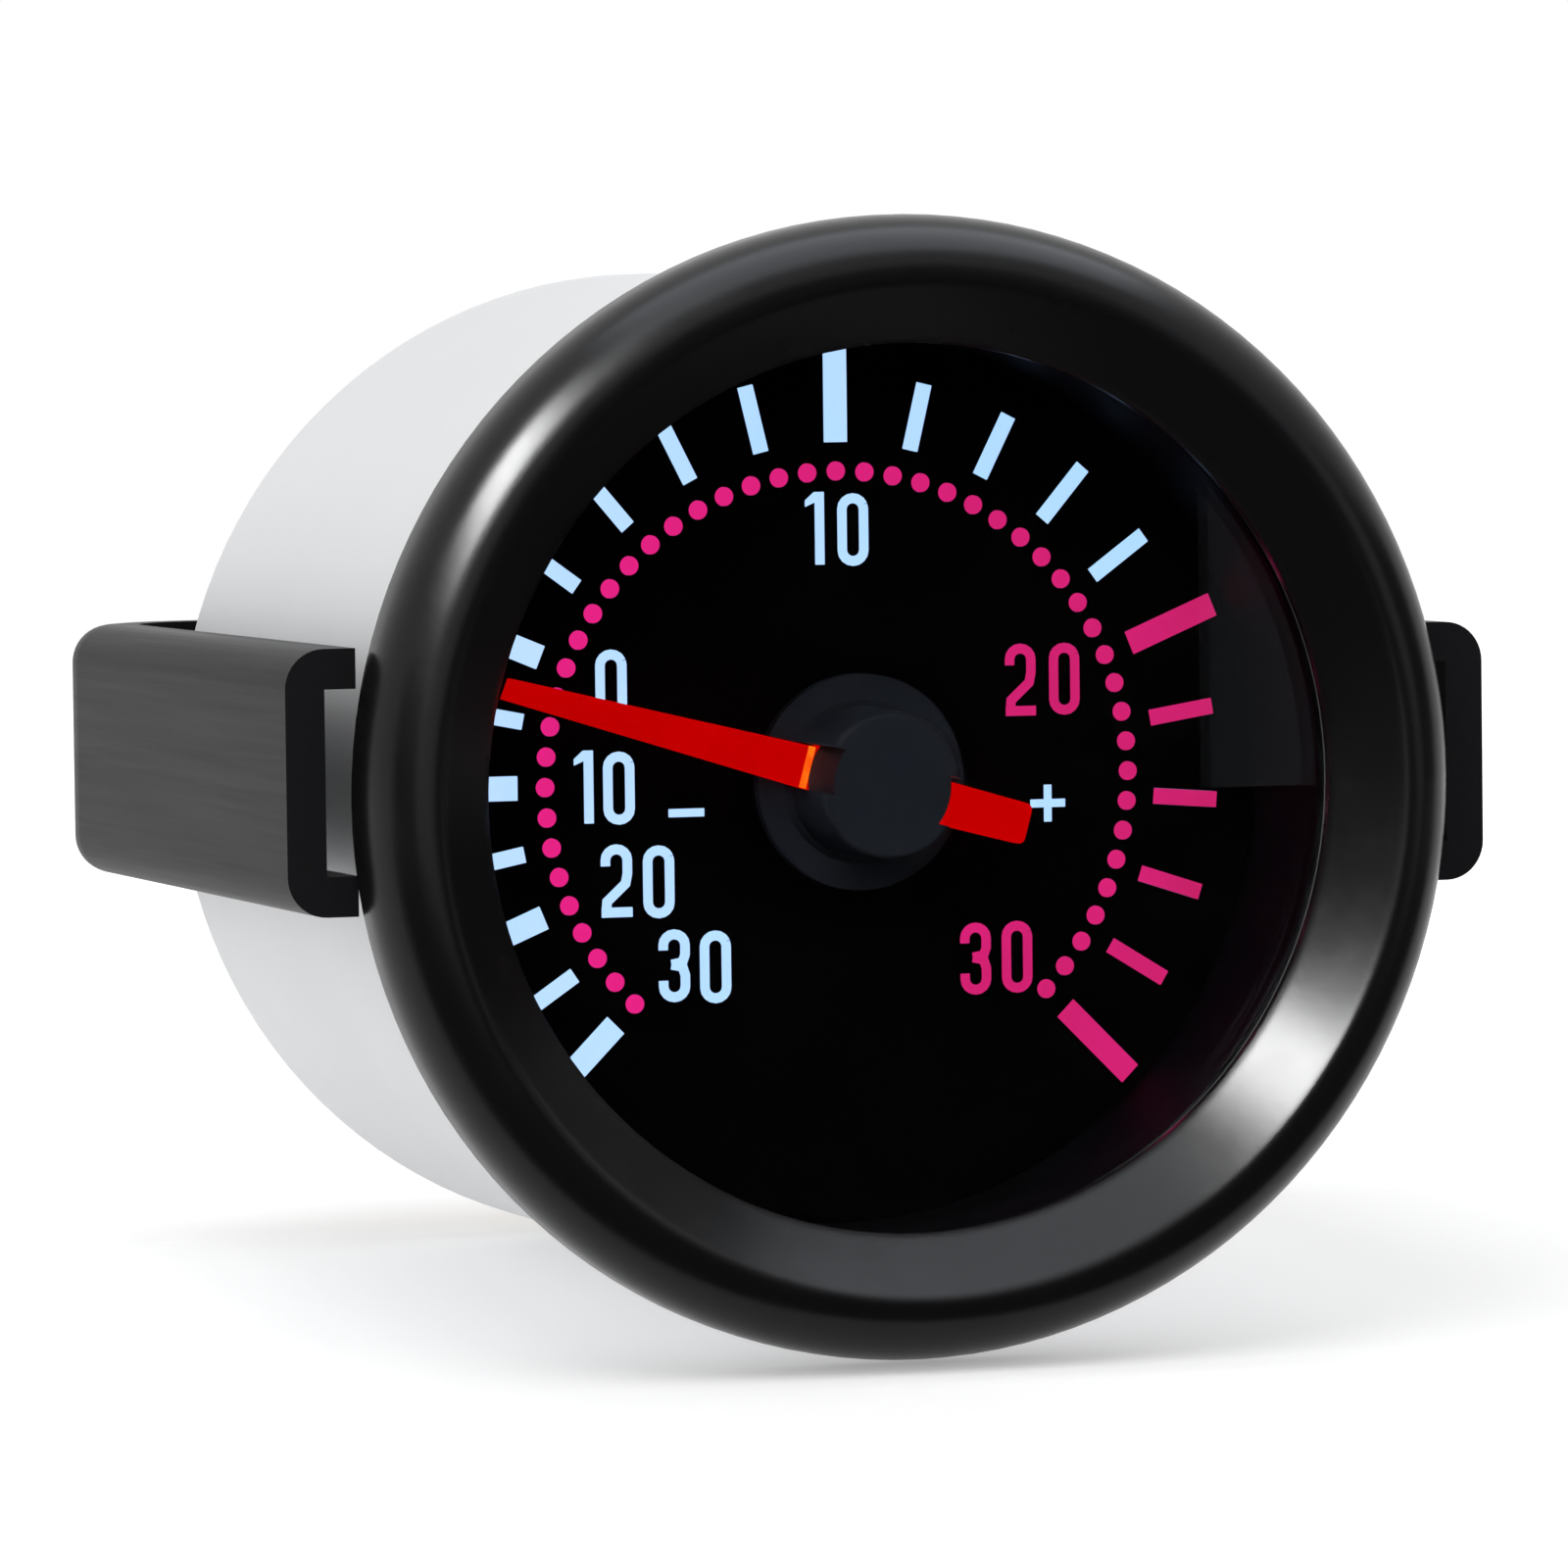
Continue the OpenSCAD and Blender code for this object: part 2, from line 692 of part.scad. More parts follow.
module plate_screws() {
  head_t = screw_head_share * plate_t;
  color("silver") front_view() pillar_places() difference() {
    union() {
      disc(screw_r, rear_back_z, front_z);
      disc(pillar_r, front_z, front_z + head_t);
    }
    translate([0, 0, front_z + head_t]) cube([2 * (pillar_r + overrun), head_t / 2, head_t], center = true);
  }
}

// Toothed sector: a fan with a window, a hub and a tail, drawn about its own pivot
sector_step = 360 / sector_teeth;
sector_hub_r = sector_hub_share * arbor_core_r;
sector_root_r = sector_pitch_r - pinion_add - tooth_clear;
fan_low = 90 - (low_teeth + 1) * sector_step;
fan_high = 90 + (high_teeth + 1) * sector_step;
module sector_outline() {
  rim_in_r = sector_root_r - rim_share * sector_t;
  difference() {
    union() {
      polygon(concat(
        [[0, 0], sector_root_r * [cos(fan_low), sin(fan_low)]],
        [
          for (i = [low_teeth:-1:-high_teeth])
            each tooth(90 - (i - 0.5) * sector_step, sector_pitch_r, sector_add, pinion_add + tooth_clear)
        ],
        [sector_root_r * [cos(fan_high), sin(fan_high)]]
      ));
      circle(r = sector_hub_r);
      circle_tail();
    }
    fan_window(rim_in_r);
    circle(r = arbor_core_r);
    translate([0, -tail_lever]) circle(r = tail_pin_r);
  }
}

module circle_tail() {
  tail_half = tail_share * tail_pin_r;
  translate([-tail_half, -tail_lever]) square([2 * tail_half, tail_lever]);
  translate([0, -tail_lever]) circle(r = tail_half);
}

module fan_window(out_r) {
  in_r = sector_hub_r + sector_t;
  spoke = spoke_share * sector_t;
  low = fan_low + asin(spoke / in_r) * spoke_flare_share;
  high = fan_high - asin(spoke / in_r) * spoke_flare_share;
  window_steps = 4;
  step = (high - low) / window_steps;
  polygon(concat(
    [for (k = [0:window_steps]) in_r * [cos(low + k * step), sin(low + k * step)]],
    [for (k = [window_steps:-1:0]) out_r * [cos(low + k * step), sin(low + k * step)]]
  ));
}

module sector() {
  color("goldenrod") front_view() translate([0, -pivot_drop, sector_back_z])
    linear_extrude(sector_t) sector_outline();
}

module sector_arbor() {
  collar_r = collar_share * sector_hub_r;
  color("silver") front_view() translate([0, -pivot_drop, 0]) {
    disc(pivot_r, rear_back_z, front_z);
    disc(arbor_core_r, rear_z + air_gap, front_back_z - air_gap);
    ring(collar_r, arbor_core_r, sector_z, sector_z + collar_t_shares[0] * sector_t);
    ring(collar_r, arbor_core_r, sector_back_z - collar_t_shares[1] * sector_t, sector_back_z);
  }
}

// Pin in the sector's tail, with a collar that keeps the link on
module tail_pin() {
  color("silver") front_view() translate([tail_pin_at[0], tail_pin_at[1], 0]) {
    disc(tail_pin_r, link_back_z - air_gap, sector_z);
    disc(
      pin_head_share * tail_pin_r, link_back_z - air_gap - pin_head_t_share * link_t, link_back_z - air_gap
    );
  }
}

// Link with a round eye on the tail pin and a slot on the tip pin, which takes up the tube's travel
module link() {
  color("gray") front_view() translate([tail_pin_at[0], tail_pin_at[1], link_back_z])
    rotate([0, 0, link_angle]) linear_extrude(link_t) difference() {
      union() {
        circle(r = link_w / 2 + fit_gap);
        translate([0, -link_w / 4]) square([link_len, link_w / 2]);
        slot_outline(slot_r + link_w / 3);
      }
      circle(r = tail_pin_r + run_gap);
      slot_outline(slot_r);
    }
}

module slot_outline(r) {
  translate([link_len - slot_in, -r]) square([slot_in + slot_out, 2 * r]);
  for (x = [link_len - slot_in, link_len + slot_out]) translate([x, 0]) circle(r = r);
}

// Flattened section of the pressure tube, from its outside or, with a wall, from its inside
module tube_section(wall) {
  half = tube_t / 2 - wall;
  translate([tube_r - half, tube_back_z + tube_t / 2]) square([2 * half, tube_h - tube_t]);
  for (z = [tube_back_z + tube_t / 2, tube_z - tube_t / 2]) translate([tube_r, z]) circle(r = half, $fn = 48);
}

// The tube runs from its socket below, over the top, round to its tip at the lower right
module pressure_tube() {
  color("peru") front_view() rotate([0, 0, tube_tip_angle])
    rotate_extrude(angle = tube_root_angle - tube_tip_angle) difference() {
      tube_section(0);
      tube_section(tube_wall);
    }
}

// End piece soldered over the tube's tip, with the pin that drives the link
module tube_tip() {
  color("gold") front_view() {
    difference() {
      rotate([0, 0, tube_tip_angle - tip_span]) rotate_extrude(angle = tip_span + tip_grip)
        translate([tube_r - tube_t / 2 - tip_wall, tube_back_z - tip_wall])
          square([tube_t + 2 * tip_wall, tube_h + 2 * tip_wall]);
      rotate([0, 0, tube_tip_angle]) rotate_extrude(angle = 2 * tip_span) tube_section(0);
    }
    translate([tip_pin[0], tip_pin[1], 0]) disc(tip_pin_r, tube_z - tip_wall, link_z + air_gap);
  }
}

// Brass block that carries the movement and the tube, with a threaded neck through the back wall
socket_top = port_drop - neck_r;
socket_low = port_drop + neck_r + neck_over_share * plate_t;
module socket_block() {
  color("gold") front_view() difference() {
    union() {
      translate([-socket_w / 2, -socket_low, floor_z])
        cube([socket_w, socket_low - socket_top, rear_back_z - floor_z]);
      translate([0, -port_drop, 0]) disc(neck_r, neck_end_z, floor_z);
    }
    rotate([0, 0, 180]) rotate_extrude(angle = tube_root_angle - 180) tube_section(0);
    translate([0, -port_drop, 0]) disc(shank_r, neck_end_z - overrun, neck_end_z + shank_len);
    translate([0, -port_drop, 0]) disc(nipple_bore_r, neck_end_z, tube_mid_z + nipple_bore_r);
    translate([0, -port_drop, tube_mid_z]) rotate([0, 0, passage_angle]) rotate([0, 90, 0])
      cylinder(r = passage_share * nipple_bore_r, h = norm(passage));
  }
}

module hose_nipple() {
  shank_z = neck_end_z + shank_len;
  color("goldenrod") front_view() translate([0, -port_drop, 0]) rotate_extrude() polygon([
    [nipple_bore_r, nipple_end_z], [nipple_r - nipple_taper / 3, nipple_end_z],
    [nipple_r, nipple_end_z + nipple_taper], [nipple_r, neck_end_z],
    [shank_r, neck_end_z], [shank_r, shank_z], [nipple_bore_r, shank_z]
  ]);
}

module port_nut() {
  color("silver") front_view() translate([0, -port_drop, nut_z - port_nut_t]) difference() {
    cylinder(r = port_nut_af / 2 / cos(30), h = port_nut_t, $fn = 6);
    translate([0, 0, -overrun]) cylinder(r = neck_r, h = port_nut_t + 2 * overrun);
  }
}

module port_washer() {
  color("silver") front_view() translate([0, -port_drop, 0]) ring(port_nut_af / 2, neck_r, nut_z, back_z);
}

// Studs with a head inside the back wall
module studs() {
  color("silver") front_view() stud_places() {
    disc(stud_r, back_z - stud_len, floor_z);
    disc(stud_head_share * stud_r, floor_z, floor_z + back_wall / 2);
  }
}

// Section of the bracket: a channel that opens towards the case, its web on the right
module channel() {
  corner_y = arm_h / 2 - arm_round;
  difference() {
    intersection() {
      translate([0, -arm_h / 2]) square([arm_depth, arm_h]);
      union() {
        translate([0, -arm_h / 2]) square([arm_depth - arm_round, arm_h]);
        translate([0, -corner_y]) square([arm_depth, 2 * corner_y]);
        for (s = [-1, 1]) translate([arm_depth - arm_round, s * corner_y]) circle(r = arm_round);
      }
    }
    translate([-overrun, -arm_h / 2 + arm_wall])
      square([arm_depth - arm_wall + overrun, arm_h - 2 * arm_wall]);
  }
}

module half_bracket() {
  translate([arm_open_x, 0, bend_z]) linear_extrude(-air_gap - bend_z) channel();
  translate([bend_x, 0, bend_z]) rotate([-90, 0, 0]) rotate_extrude(angle = 90)
    translate([bend_r - arm_depth, 0]) channel();
  translate([0, 0, bridge_open_z]) rotate([0, 90, 0]) linear_extrude(bend_x) channel();
}

module bracket() {
  color([0.13, 0.13, 0.14]) front_view() difference() {
    translate([0, stud_rise, 0]) {
      half_bracket();
      mirror([1, 0, 0]) half_bracket();
    }
    stud_places() disc(stud_r + air_gap, bridge_z - overrun, bridge_open_z + overrun);
  }
}

module bracket_washers() {
  color("silver") front_view() stud_places()
    ring(washer_r_share * stud_r, stud_r + loose_gap, bridge_z - washer_t, bridge_z);
}

// Round nut with a grooved grip and a plain collar towards the bracket
module thumb_nut() {
  collar_t = thumb_h / 6;
  groove_r = groove_share * thumb_r;
  difference() {
    union() {
      disc(nut_collar_share * thumb_r, thumb_z - collar_t, thumb_z);
      disc(thumb_r, thumb_z - thumb_h, thumb_z - collar_t);
    }
    disc(stud_r + run_gap, thumb_z - thumb_h - overrun, thumb_z + overrun);
    for (i = [0:groove_count - 1]) polar(i * 360 / groove_count, thumb_r)
      translate([0, 0, thumb_z - thumb_h - overrun])
        cylinder(r = groove_r, h = thumb_h - collar_t + overrun, $fn = 24);
  }
}

module left_thumb_nut() {
  color("silver") front_view() translate([-stud_x, stud_rise, 0]) thumb_nut();
}

module right_thumb_nut() {
  color("silver") front_view() translate([stud_x, stud_rise, 0]) thumb_nut();
}

// Two push-on blades for the lamps, in a moulded block on the back wall
module terminal_places() {
  for (s = [-1, 1]) translate([s * terminal_x, terminal_y, back_z]) children();
}

module terminal_block() {
  block_wall = block_wall_share * blade_wall;
  color("dimgray") front_view() difference() {
    translate([-2 * terminal_x, terminal_y - block_wall, back_z - block_t])
      cube([4 * terminal_x, 2 * block_wall, block_t]);
    terminal_places() cube([blade_w, blade_wall, 2 * (block_t + overrun)], center = true);
  }
}

module terminals() {
  color("silver") front_view() terminal_places()
    translate([-blade_w / 2, -blade_wall / 2, -block_t - blade_len])
      cube([blade_w, blade_wall, block_t + blade_len + back_wall]);
}

case();
bezel();
lens_gasket();
lens();
shroud_ring();
dial();
light_guide();
lamp_board();
lamps();
pointer();
pointer_base();
pointer_cap();
pointer_arbor();
pinion();
hairspring_collet();
hairspring();
hairspring_stud();
front_plate();
back_plate();
pillars();
plate_screws();
sector();
sector_arbor();
tail_pin();
link();
pressure_tube();
tube_tip();
socket_block();
hose_nipple();
port_nut();
port_washer();
studs();
bracket();
bracket_washers();
left_thumb_nut();
right_thumb_nut();
terminal_block();
terminals();
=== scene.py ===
import bpy
import math
from mathutils import Matrix, Vector


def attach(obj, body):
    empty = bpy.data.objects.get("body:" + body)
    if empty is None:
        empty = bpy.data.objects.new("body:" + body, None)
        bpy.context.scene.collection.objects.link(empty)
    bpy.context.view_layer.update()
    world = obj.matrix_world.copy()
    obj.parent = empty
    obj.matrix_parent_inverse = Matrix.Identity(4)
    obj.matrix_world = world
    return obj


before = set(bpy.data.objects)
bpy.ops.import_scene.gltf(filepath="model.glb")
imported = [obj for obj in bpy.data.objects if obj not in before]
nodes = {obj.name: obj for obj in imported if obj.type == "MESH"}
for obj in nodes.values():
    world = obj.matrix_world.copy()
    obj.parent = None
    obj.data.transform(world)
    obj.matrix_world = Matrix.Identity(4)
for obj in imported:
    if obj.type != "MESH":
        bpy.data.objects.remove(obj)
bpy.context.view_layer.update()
mm = 0.001
scene = bpy.context.scene


def linear(red, green, blue):
    # a colour picked from the screen, 0 to 255, as the values that shaders use
    def one(value):
        value = value / 255
        return value / 12.92 if value <= 0.04045 else ((value + 0.055) / 1.055) ** 2.4
    return (one(red), one(green), one(blue), 1.0)


def newMaterial(name):
    material = bpy.data.materials.new(name)
    material.use_nodes = True
    tree = material.node_tree
    shader = tree.nodes["Principled BSDF"]
    return material, tree, shader


def place(tree, kind, **values):
    node = tree.nodes.new(kind)
    for key, value in values.items():
        setattr(node, key, value)
    return node


def setInputs(node, **values):
    for key, value in values.items():
        node.inputs[key.replace("_", " ")].default_value = value


def dress(name, material):
    mesh = nodes[name].data
    mesh.materials.clear()
    mesh.materials.append(material)


def meshPiece(name, vertices, faces, material, body):
    mesh = bpy.data.meshes.new(name)
    mesh.from_pydata(vertices, [], faces)
    mesh.validate()
    piece = bpy.data.objects.new(name, mesh)
    scene.collection.objects.link(piece)
    mesh.materials.append(material)
    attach(piece, body)
    return piece


def newGroup(name, inputs, outputs):
    # an empty shader group with its sockets, and its start and end nodes
    group = bpy.data.node_groups.new(name, "ShaderNodeTree")
    for label, value in inputs:
        socket = group.interface.new_socket(name=label, in_out="INPUT", socket_type="NodeSocketFloat")
        socket.default_value = value
    for label in outputs:
        group.interface.new_socket(name=label, in_out="OUTPUT", socket_type="NodeSocketFloat")
    return group, group.nodes.new("NodeGroupInput"), group.nodes.new("NodeGroupOutput")


def makeGrainGroup():
    # fine paint or mould grain: a height for a bump and a mask that breaks up the roughness
    group, start, end = newGroup("fineGrain", (("Scale", 900.0), ("Blotch Scale", 60.0)), ("Height", "Mask"))
    coords = place(group, "ShaderNodeTexCoord")
    fine = place(group, "ShaderNodeTexNoise")
    setInputs(fine, Detail=4.0, Roughness=0.6)
    blotch = place(group, "ShaderNodeTexNoise")
    setInputs(blotch, Detail=3.0, Roughness=0.55)
    group.links.new(coords.outputs["Object"], fine.inputs["Vector"])
    group.links.new(coords.outputs["Object"], blotch.inputs["Vector"])
    group.links.new(start.outputs["Scale"], fine.inputs["Scale"])
    group.links.new(start.outputs["Blotch Scale"], blotch.inputs["Scale"])
    group.links.new(fine.outputs["Fac"], end.inputs["Height"])
    group.links.new(blotch.outputs["Fac"], end.inputs["Mask"])
    return group


def makeSpreadGroup():
    # spreads the middle of a noise mask between a low and a high value
    group, start, end = newGroup("spreadMask", (("Mask", 0.5), ("Low", 0.0), ("High", 1.0)), ("Value",))
    spread = place(group, "ShaderNodeMapRange")
    setInputs(spread, From_Min=0.3, From_Max=0.7)
    group.links.new(start.outputs["Mask"], spread.inputs["Value"])
    group.links.new(start.outputs["Low"], spread.inputs["To Min"])
    group.links.new(start.outputs["High"], spread.inputs["To Max"])
    group.links.new(spread.outputs["Result"], end.inputs["Value"])
    return group


def makeStreakGroup():
    # fine streaks along the gauge's axis, as a drawn sheet or a mould leaves them
    group, start, end = newGroup("fineStreaks", (("Scale", 400.0), ("Stretch", 0.04)), ("Mask",))
    coords = place(group, "ShaderNodeTexCoord")
    stretch = place(group, "ShaderNodeCombineXYZ")
    setInputs(stretch, X=1.0, Z=1.0)
    scaled = place(group, "ShaderNodeVectorMath", operation="MULTIPLY")
    noise = place(group, "ShaderNodeTexNoise")
    setInputs(noise, Detail=5.0, Roughness=0.65)
    group.links.new(start.outputs["Stretch"], stretch.inputs["Y"])
    group.links.new(coords.outputs["Object"], scaled.inputs[0])
    group.links.new(stretch.outputs["Vector"], scaled.inputs[1])
    group.links.new(scaled.outputs["Vector"], noise.inputs["Vector"])
    group.links.new(start.outputs["Scale"], noise.inputs["Scale"])
    group.links.new(noise.outputs["Fac"], end.inputs["Mask"])
    return group


grainGroup = makeGrainGroup()
spreadGroup = makeSpreadGroup()
streakGroup = makeStreakGroup()


def mixColours(tree, maskSocket, first, second, shader, target="Base Color"):
    mix = place(tree, "ShaderNodeMix", data_type="RGBA")
    mix.inputs["A"].default_value = first
    mix.inputs["B"].default_value = second
    tree.links.new(maskSocket, mix.inputs["Factor"])
    tree.links.new(mix.outputs["Result"], shader.inputs[target])


grainDepth = 0.00005          # metres, how deep the finest grain of any surface can be


def grainy(name, finish):
    # a moulded, painted or machined surface with its own grain, and streaks where it has them
    material, tree, shader = newMaterial(name)
    setInputs(shader, Metallic=finish.get("metallic", 0.0))
    shader.inputs["Specular IOR Level"].default_value = finish.get("specular", 0.5)
    grain = place(tree, "ShaderNodeGroup", node_tree=grainGroup)
    setInputs(grain, Scale=finish["grainScale"], Blotch_Scale=finish["blotchScale"])
    mask = grain.outputs["Mask"]
    if "streakScale" in finish:
        streaks = place(tree, "ShaderNodeGroup", node_tree=streakGroup)
        setInputs(streaks, Scale=finish["streakScale"], Stretch=finish["streakStretch"])
        mask = streaks.outputs["Mask"]
    spread = place(tree, "ShaderNodeGroup", node_tree=spreadGroup)
    setInputs(spread, Low=finish["roughness"][0], High=finish["roughness"][1])
    tree.links.new(mask, spread.inputs["Mask"])
    tree.links.new(spread.outputs["Value"], shader.inputs["Roughness"])
    mixColours(tree, mask, finish["colours"][0], finish["colours"][1], shader)
    bump = place(tree, "ShaderNodeBump")
    setInputs(bump, Strength=finish["bump"], Distance=grainDepth)
    tree.links.new(grain.outputs["Height"], bump.inputs["Height"])
    if "softEdge" in finish:
        soft = place(tree, "ShaderNodeBevel", samples=8)
        setInputs(soft, Radius=finish["softEdge"])
        tree.links.new(soft.outputs["Normal"], bump.inputs["Normal"])
    tree.links.new(bump.outputs["Normal"], shader.inputs["Normal"])
    return material


cameraFit = {
    "dotRing": 15.7, "dialY": 9.5,                     # mm: the unit of the fit and the dial's place on the axis
    "focal": 9307.1288, "azimuth": -18.6038, "elevation": 2.9002, "roll": -0.7176,
    "across": 55.0846, "up": 5.26, "distance": 29.6307,
    "photoSize": 1600, "sensor": 36, "clip": (0.01, 20),
}


def makeCamera():
    fit = cameraFit
    azimuth, elevation, roll = (math.radians(fit[key]) for key in ("azimuth", "elevation", "roll"))
    back = Vector((math.sin(azimuth) * math.cos(elevation), -math.cos(azimuth) * math.cos(elevation),
                   math.sin(elevation)))
    right = Vector((math.cos(azimuth), math.sin(azimuth), 0))
    up = back.cross(right)
    turnedRight = right * math.cos(roll) + up * math.sin(roll)
    turnedUp = up * math.cos(roll) - right * math.sin(roll)
    unit = fit["dotRing"] * mm
    aside = turnedRight * fit["across"] + turnedUp * fit["up"]
    spot = (back - aside / fit["focal"]) * fit["distance"] * unit + Vector((0, fit["dialY"] * mm, 0))
    data = bpy.data.cameras.new("productCamera")
    data.sensor_width = fit["sensor"]
    data.lens = fit["focal"] / fit["photoSize"] * fit["sensor"]
    data.clip_start, data.clip_end = fit["clip"]
    camera = bpy.data.objects.new("productCamera", data)
    turn = Matrix((turnedRight, turnedUp, back)).transposed().to_4x4()
    camera.matrix_world = Matrix.Translation(spot) @ turn
    scene.collection.objects.link(camera)
    scene.camera = camera


makeCamera()
print("camera placed")


finishes = {
    "case": {"colours": (linear(219, 220, 221), linear(213, 214, 216)), "roughness": (0.45, 0.6), "specular": 0.3,
             "grainScale": 2600, "blotchScale": 45, "bump": 0.08},
    "bezel": {"colours": (linear(13, 13, 14), linear(10, 10, 11)), "roughness": (0.23, 0.28), "specular": 0.18,
              "grainScale": 1500, "blotchScale": 260, "bump": 0.07, "softEdge": 0.0008},
    "bracket": {"colours": (linear(25, 25, 27), linear(18, 18, 20)), "roughness": (0.34, 0.4), "specular": 0.035,
                "grainScale": 1200, "blotchScale": 120, "bump": 0.05, "streakScale": 1800, "streakStretch": 0.02},
    "dial": {"colours": (linear(2, 2, 2), linear(1, 1, 1)), "roughness": (0.6, 0.7), "specular": 0.02,
             "grainScale": 3000, "blotchScale": 200, "bump": 0.02},
    "innerBlack": {"colours": (linear(5, 5, 6), linear(3, 3, 4)), "roughness": (0.55, 0.65), "specular": 0.05,
                   "grainScale": 2500, "blotchScale": 150, "bump": 0.05},
    "cap": {"colours": (linear(29, 31, 35), linear(25, 27, 31)), "roughness": (0.45, 0.55), "specular": 0.04,
            "grainScale": 2800, "blotchScale": 180, "bump": 0.05},
    "rubber": {"colours": (linear(20, 20, 20), linear(12, 12, 12)), "roughness": (0.7, 0.85),
               "grainScale": 1500, "blotchScale": 120, "bump": 0.3},
    "board": {"colours": (linear(30, 92, 48), linear(20, 74, 36)), "roughness": (0.3, 0.4),
              "grainScale": 1800, "blotchScale": 160, "bump": 0.15},
    "lamp": {"colours": (linear(250, 244, 214), linear(244, 232, 190)), "roughness": (0.2, 0.3),
             "grainScale": 1500, "blotchScale": 300, "bump": 0.05},
    "steel": {"colours": (linear(196, 198, 202), linear(172, 174, 178)), "roughness": (0.22, 0.34), "metallic": 1.0,
              "grainScale": 3500, "blotchScale": 240, "bump": 0.12},
    "plated": {"colours": (linear(206, 204, 196), linear(182, 180, 174)), "roughness": (0.2, 0.36), "metallic": 1.0,
               "grainScale": 2400, "blotchScale": 200, "bump": 0.15},
    "brass": {"colours": (linear(206, 172, 98), linear(184, 146, 76)), "roughness": (0.24, 0.38), "metallic": 1.0,
              "grainScale": 3200, "blotchScale": 180, "bump": 0.12},
    "bronze": {"colours": (linear(196, 142, 92), linear(170, 116, 70)), "roughness": (0.26, 0.4), "metallic": 1.0,
               "grainScale": 2600, "blotchScale": 150, "bump": 0.12},
}
made = {name: grainy(name + "Finish", finish) for name, finish in finishes.items()}
wearers = {
    # finish, and the parts that have it
    "case": ["case"], "bezel": ["bezel"], "bracket": ["bracket"], "dial": ["dial"],
    "innerBlack": ["shroud_ring", "terminal_block"], "cap": ["pointer_base", "pointer_cap"],
    "rubber": ["lens_gasket"], "board": ["lamp_board"], "lamp": ["lamps"],
    "steel": ["pointer_arbor", "plate_screws", "sector_arbor", "tail_pin", "link"],
    "plated": ["port_nut", "port_washer", "studs", "bracket_washers", "left_thumb_nut", "right_thumb_nut", "terminals"],
    "brass": ["pinion", "hairspring_collet", "hairspring_stud", "front_plate", "back_plate", "pillars", "sector",
              "tube_tip", "socket_block", "hose_nipple"],
    "bronze": ["hairspring", "pressure_tube"],
}
for name, members in wearers.items():
    for member in members:
        dress(member, made[name])
print("finishes on the parts")

lensLook = {
    "tint": (0.88, 0.9, 0.93, 1.0), "ior": 1.25, "smear": (0.0, 0.02), "grainScale": 400.0, "blotchScale": 30.0,
}


def makeLensGlass():
    material, tree, shader = newMaterial("smokedLens")
    setInputs(shader, Metallic=0.0, IOR=lensLook["ior"])
    shader.inputs["Transmission Weight"].default_value = 1.0
    grain = place(tree, "ShaderNodeGroup", node_tree=grainGroup)
    setInputs(grain, Scale=lensLook["grainScale"], Blotch_Scale=lensLook["blotchScale"])
    spread = place(tree, "ShaderNodeGroup", node_tree=spreadGroup)
    setInputs(spread, Low=lensLook["smear"][0], High=lensLook["smear"][1])
    tree.links.new(grain.outputs["Mask"], spread.inputs["Mask"])
    tree.links.new(spread.outputs["Value"], shader.inputs["Roughness"])
    shader.inputs["Base Color"].default_value = lensLook["tint"]
    return material


dress("lens", makeLensGlass())

litLook = {"halfWidth": 0.02, "shadeShare": 0.1, "grainScale": 900.0, "roughness": 0.6}
litFinishes = {
    # two colours, how strongly they glow, the size of their clouds and how much of the change runs left to right
    "paleLit": {"colours": (linear(186, 216, 255), linear(164, 208, 255)), "strength": 1.25,
                "cloudScale": 120.0, "fadeShare": 0.6},
    "pinkLit": {"colours": (linear(230, 34, 132), linear(180, 30, 88)), "strength": 1.25,
                "cloudScale": 90.0, "fadeShare": 0.7},
    "redLit": {"colours": (linear(188, 0, 1), linear(178, 0, 1)), "strength": 1.25,
               "cloudScale": 120.0, "fadeShare": 0.0},
    "guideLit": {"colours": (linear(150, 185, 235), linear(120, 150, 205)), "strength": 0.4,
                 "cloudScale": 120.0, "fadeShare": 0.0},
    "orangeLit": {"colours": (linear(255, 120, 20), linear(255, 70, 10)), "strength": 1.3,
                  "cloudScale": 900.0, "fadeShare": 0.0},
}


def litFinish(name, finish):
    # a surface lit from behind, a little uneven
    material, tree, shader = newMaterial(name)
    setInputs(shader, Roughness=litLook["roughness"])
    shader.inputs["Specular IOR Level"].default_value = 0.0
    shader.inputs["Emission Strength"].default_value = finish["strength"]
    cloud = place(tree, "ShaderNodeGroup", node_tree=grainGroup)
    setInputs(cloud, Scale=litLook["grainScale"], Blotch_Scale=finish["cloudScale"])
    spread = place(tree, "ShaderNodeGroup", node_tree=spreadGroup)
    setInputs(spread, Low=0.0, High=1.0 - finish["fadeShare"])
    coords = place(tree, "ShaderNodeTexCoord")
    axes = place(tree, "ShaderNodeSeparateXYZ")
    fade = place(tree, "ShaderNodeMapRange")
    setInputs(fade, From_Min=-litLook["halfWidth"], From_Max=litLook["halfWidth"], To_Min=0.0,
              To_Max=finish["fadeShare"])
    total = place(tree, "ShaderNodeMath", operation="ADD")
    tree.links.new(cloud.outputs["Mask"], spread.inputs["Mask"])
    tree.links.new(coords.outputs["Object"], axes.inputs["Vector"])
    tree.links.new(axes.outputs["X"], fade.inputs["Value"])
    tree.links.new(spread.outputs["Value"], total.inputs[0])
    tree.links.new(fade.outputs["Result"], total.inputs[1])
    lit = finish["colours"]
    shade = [tuple(litLook["shadeShare"] * value for value in colour[:3]) + (1.0,) for colour in lit]
    mixColours(tree, total.outputs["Value"], lit[0], lit[1], shader, "Emission Color")
    mixColours(tree, total.outputs["Value"], shade[0], shade[1], shader)
    return material


litMade = {name: litFinish(name, finish) for name, finish in litFinishes.items()}
dress("light_guide", litMade["guideLit"])
dress("pointer", litMade["redLit"])

